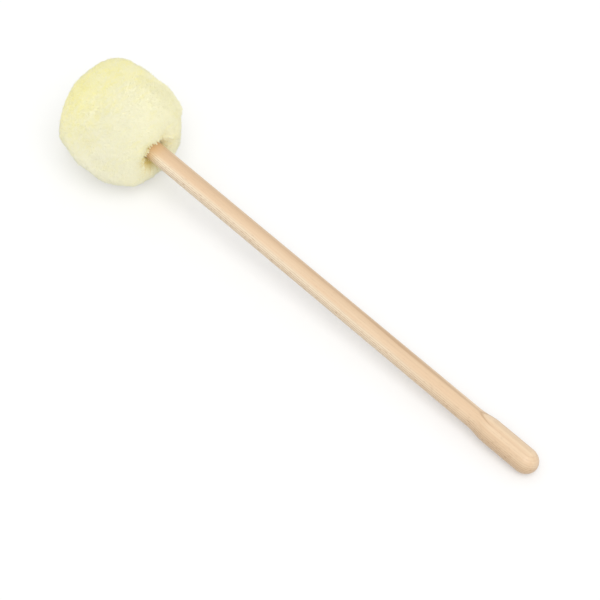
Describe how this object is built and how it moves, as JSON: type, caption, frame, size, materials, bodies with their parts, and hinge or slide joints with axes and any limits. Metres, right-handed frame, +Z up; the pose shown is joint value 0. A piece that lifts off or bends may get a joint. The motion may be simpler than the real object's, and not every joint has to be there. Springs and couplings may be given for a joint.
{
  "type": "percussion mallet",
  "caption": "Percussion mallet lying at rest: slim turned wooden handle with a knobbed, domed grip end and a soft round fleece-covered head on a screwed wooden core.",
  "frame": {"origin": "bottom centre of the bounding box, on the surface that the mallet lies on", "axes": "+Z up; +X from the head towards the knob, level under the handle; the handle's axis is in the XZ plane and slopes down towards +X"},
  "size_m": [0.3486, 0.0684, 0.0681],
  "materials": {
    "handle_wood": "pale straight-grained hardwood, satin varnish",
    "core_wood": "turned, unfinished",
    "plated_steel": "zinc plated, satin",
    "hard_felt": "pressed wool felt, off-white",
    "wadding": "soft wadding, off-white",
    "knitted_backing": "knitted backing cloth, pale yellow",
    "waxed_thread": "waxed cotton thread, natural",
    "fleece": "short dense plush, pale lemon"
  },
  "bodies": {
    "root": {"shaft": "handle_wood", "core": "core_wood", "core_screw": "plated_steel", "core_washer": "plated_steel", "inner_felt": "hard_felt", "padding": "wadding", "cover_backing": "knitted_backing", "gathering_thread": "waxed_thread", "pile": "fleece"}
  },
  "joints": []
}
